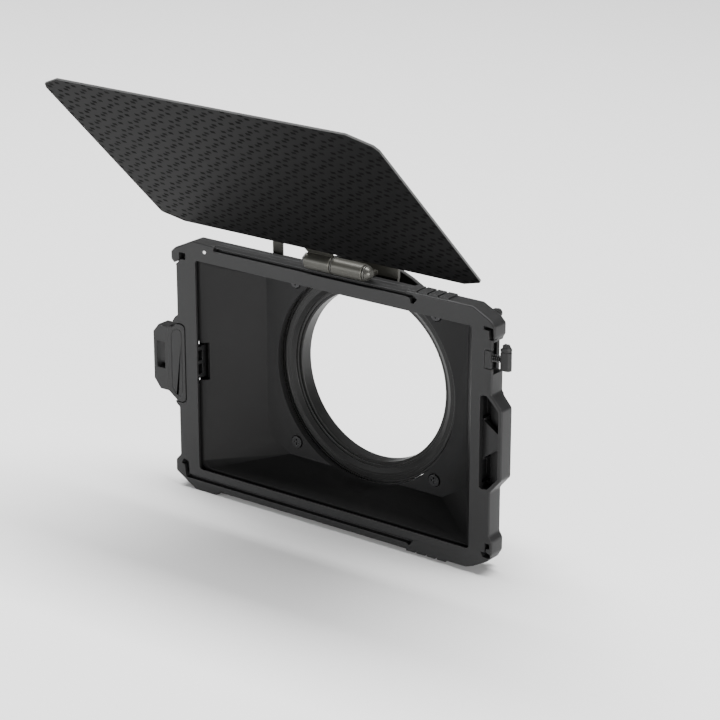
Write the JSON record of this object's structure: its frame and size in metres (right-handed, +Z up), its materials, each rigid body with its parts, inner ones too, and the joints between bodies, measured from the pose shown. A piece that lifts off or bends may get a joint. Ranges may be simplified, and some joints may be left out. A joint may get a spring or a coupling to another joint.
{
  "type": "lens hood",
  "caption": "Compact matte box: rectangular hood with a filter channel, round rear ring, lens adapter and a tilting carbon top flag on a friction hinge.",
  "frame": {"origin": "on the lens axis, in the plane where the adapter ring's rear flange meets the front of the lens", "axes": "-Y looks out of the front towards the subject, +Y points back along the lens axis to the camera, +X is right as seen from the front, +Z is up"},
  "size_m": [0.1848, 0.1192, 0.2021],
  "materials": {
    "black_polymer": "fine matt texture",
    "black_anodised": "satin black anodised",
    "bronze_anodised": "satin bronze-grey anodised",
    "dark_steel": "black zinc",
    "spring_steel": "bright drawn wire",
    "carbon_plate": "matt woven carbon laminate",
    "washer_polymer": "plain moulded"
  },
  "bodies": {
    "hood": {"front_frame": "black_polymer", "hood_shell": "black_polymer", "rear_ring": "black_anodised", "rear_screw_1": "dark_steel", "rear_screw_2": "dark_steel", "rear_screw_3": "dark_steel", "rear_screw_4": "dark_steel", "frame_screw_1": "dark_steel", "frame_screw_2": "dark_steel", "frame_screw_3": "dark_steel", "frame_screw_4": "dark_steel", "flag_bracket": "bronze_anodised", "bracket_screw_1": "dark_steel", "bracket_screw_2": "dark_steel", "hinge_base": "bronze_anodised", "hinge_screw_1": "dark_steel", "hinge_screw_2": "dark_steel", "hinge_pin": "dark_steel", "hinge_nut": "dark_steel", "friction_washer": "washer_polymer", "button_cover": "black_polymer", "tab_spring": "spring_steel", "button_spring": "spring_steel"},
    "flag": {"top_flag": "carbon_plate", "flag_leaf": "bronze_anodised"},
    "adapter": {"adapter_ring": "black_anodised"},
    "tab": {"pull_tab": "black_polymer", "filter_clip": "bronze_anodised"},
    "button": {"push_button": "black_polymer"},
    "slide": {"lock_slide": "black_polymer"}
  },
  "joints": [
    {"name": "flag_tilt", "type": "hinge", "parent": "hood", "child": "flag", "pos_m": [0, -0.0342, 0.0583], "axis": [-1, 0, 0], "range_deg": [-135, 50]},
    {"name": "adapter_turn", "type": "hinge", "parent": "hood", "child": "adapter", "pos_m": [0, 0, 0], "axis": [0, 1, 0], "continuous": true},
    {"name": "tab_pull", "type": "slide", "parent": "hood", "child": "tab", "axis": [-1, 0, 0], "range_m": [0, 0.003], "stiffness_N_per_m": 400, "springref_m": -0.003, "deforming": ["tab_spring"]},
    {"name": "button_press", "type": "slide", "parent": "hood", "child": "button", "axis": [-1, 0, 0], "range_m": [0, 0.002], "stiffness_N_per_m": 500, "springref_m": -0.002, "deforming": ["button_spring"]},
    {"name": "lock_travel", "type": "slide", "parent": "hood", "child": "slide", "axis": [0, 0, 1], "range_m": [-0.008, 0.008]}
  ]
}
